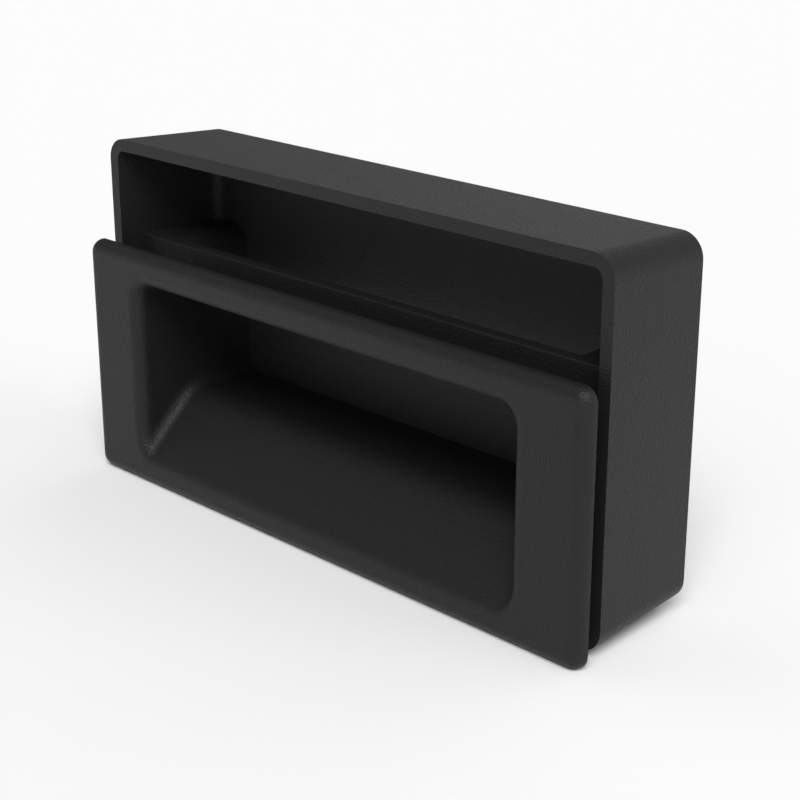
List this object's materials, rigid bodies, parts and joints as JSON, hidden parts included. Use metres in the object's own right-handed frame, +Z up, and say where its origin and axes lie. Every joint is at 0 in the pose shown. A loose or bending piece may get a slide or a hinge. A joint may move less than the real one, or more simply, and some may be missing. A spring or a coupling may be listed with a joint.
{
  "type": "recessed pull handle",
  "caption": "Rectangular recessed pull handle: a front pull with a finger recess plugs into an open-fronted back housing, with the panel held between them.",
  "frame": {"origin": "middle of the back housing's bottom edge, on the plane of its rim, which bears on the back of the panel", "axes": "+X across the handle to the right as seen from the front, +Y from the front to the back, +Z up"},
  "size_m": [0.1516, 0.0355, 0.0802],
  "materials": {
    "pull_plastic": "fine-grained moulded, matt black",
    "housing_plastic": "fine-grained moulded, matt black"
  },
  "bodies": {
    "root": {"front_pull": "pull_plastic", "back_housing": "housing_plastic"}
  },
  "joints": []
}
